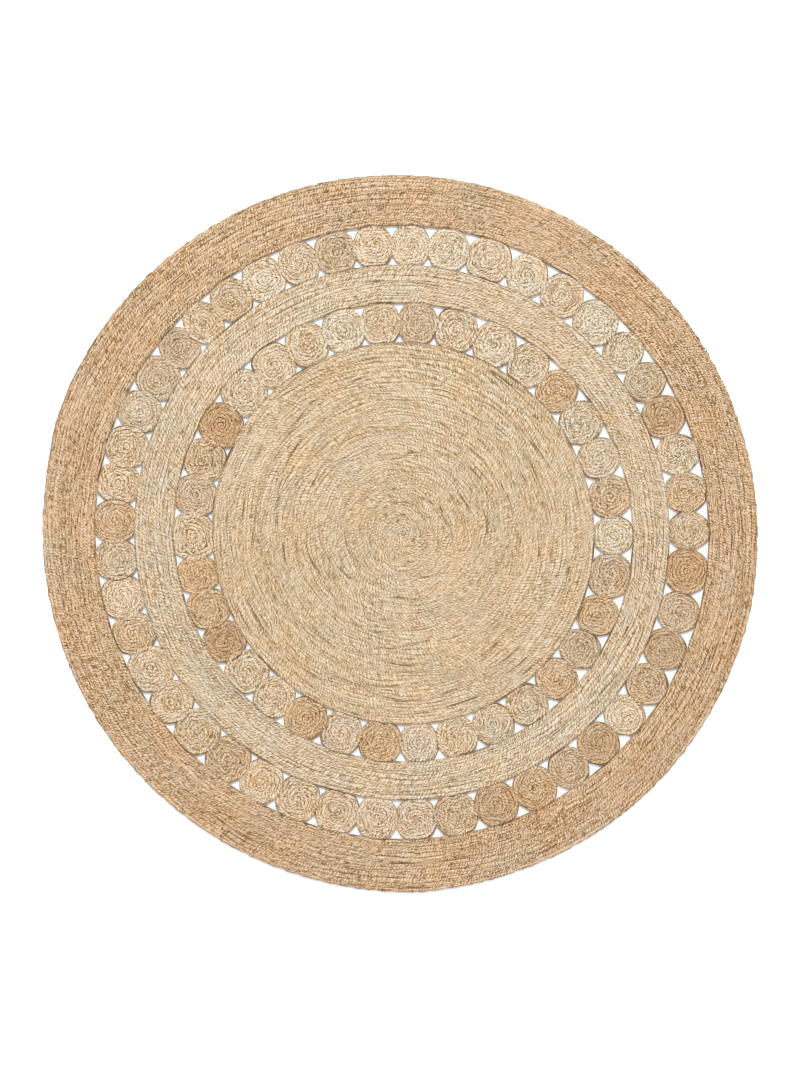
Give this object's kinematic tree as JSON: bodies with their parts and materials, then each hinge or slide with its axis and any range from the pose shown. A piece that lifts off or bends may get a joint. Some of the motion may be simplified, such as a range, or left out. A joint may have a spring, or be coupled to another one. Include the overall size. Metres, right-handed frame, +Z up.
{
  "type": "round hemp rug",
  "caption": "Flat round rug of braided hemp: a spiral disc, two flat bands and two rings of small coils sewn side to side, with three-sided openings between the coils.",
  "frame": {"origin": "middle of the rug's bounding box, on the floor under it", "axes": "+Z up out of the rug's face, +X to the right and +Y to the back as seen from above"},
  "size_m": [1.498, 1.5028, 0.009],
  "materials": {
    "disc_hemp": "undyed braided hemp, matt, light sand with paler and browner rows",
    "middle_band_hemp": "undyed braided hemp, matt, pale sand with greyish streaks",
    "outer_band_hemp": "undyed braided hemp, matt, warm tan with darker streaks",
    "coil_hemp": "undyed braided hemp, matt, each coil its own tint from cream to umber"
  },
  "bodies": {
    "root": {"centre_disc": "disc_hemp", "inner_coil_01": "coil_hemp", "inner_coil_02": "coil_hemp", "inner_coil_03": "coil_hemp", "inner_coil_04": "coil_hemp", "inner_coil_05": "coil_hemp", "inner_coil_06": "coil_hemp", "inner_coil_07": "coil_hemp", "inner_coil_08": "coil_hemp", "inner_coil_09": "coil_hemp", "inner_coil_10": "coil_hemp", "inner_coil_11": "coil_hemp", "inner_coil_12": "coil_hemp", "inner_coil_13": "coil_hemp", "inner_coil_14": "coil_hemp", "inner_coil_15": "coil_hemp", "inner_coil_16": "coil_hemp", "inner_coil_17": "coil_hemp", "inner_coil_18": "coil_hemp", "inner_coil_19": "coil_hemp", "inner_coil_20": "coil_hemp", "inner_coil_21": "coil_hemp", "inner_coil_22": "coil_hemp", "inner_coil_23": "coil_hemp", "inner_coil_24": "coil_hemp", "inner_coil_25": "coil_hemp", "inner_coil_26": "coil_hemp", "inner_coil_27": "coil_hemp", "inner_coil_28": "coil_hemp", "inner_coil_29": "coil_hemp", "inner_coil_30": "coil_hemp", "inner_coil_31": "coil_hemp", "inner_coil_32": "coil_hemp", "inner_coil_33": "coil_hemp", "inner_coil_34": "coil_hemp", "middle_band": "middle_band_hemp", "outer_coils_01_02": "coil_hemp", "outer_coils_03_04": "coil_hemp", "outer_coils_05_06": "coil_hemp", "outer_coils_07_08": "coil_hemp", "outer_coils_09_10": "coil_hemp", "outer_coils_11_12": "coil_hemp", "outer_coils_13_14": "coil_hemp", "outer_coils_15_16": "coil_hemp", "outer_coils_17_18": "coil_hemp", "outer_coils_19_20": "coil_hemp", "outer_coils_21_22": "coil_hemp", "outer_coils_23_24": "coil_hemp", "outer_coils_25_26": "coil_hemp", "outer_coils_27_28": "coil_hemp", "outer_coils_29_30": "coil_hemp", "outer_coils_31_32": "coil_hemp", "outer_coils_33_34": "coil_hemp", "outer_coils_35_36": "coil_hemp", "outer_coils_37_38": "coil_hemp", "outer_coils_39_40": "coil_hemp", "outer_coils_41_42": "coil_hemp", "outer_coils_43_44": "coil_hemp", "outer_coils_45_46": "coil_hemp", "outer_band": "outer_band_hemp"}
  },
  "joints": []
}
